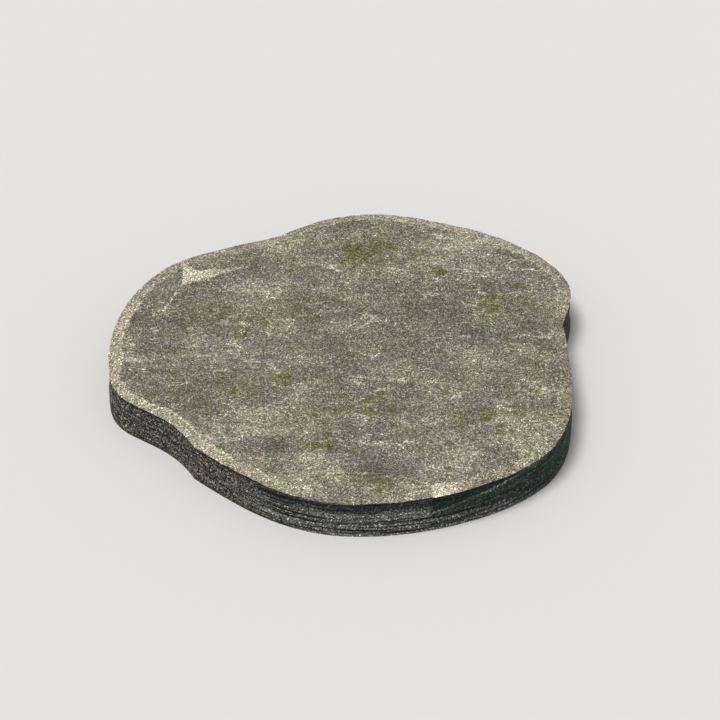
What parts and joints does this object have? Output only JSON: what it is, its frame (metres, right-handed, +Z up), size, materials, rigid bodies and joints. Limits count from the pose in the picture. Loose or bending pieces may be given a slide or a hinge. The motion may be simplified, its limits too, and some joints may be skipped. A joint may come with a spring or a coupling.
{
  "type": "garden stepping stone",
  "caption": "Irregular garden stepping stone of split flagstone, with a flat worn tread, shallow bays in its outline and a bedded edge",
  "frame": {"origin": "centre of the bounding box in plan, on the underside that rests on the ground", "axes": "+Z is up, out of the tread; +X is to the right and +Y away from the viewer in the picture"},
  "size_m": [0.397, 0.41, 0.035],
  "materials": {
    "stone": "riven and weathered, matt"
  },
  "bodies": {
    "root": {"stepping_stone": "stone"}
  },
  "joints": []
}
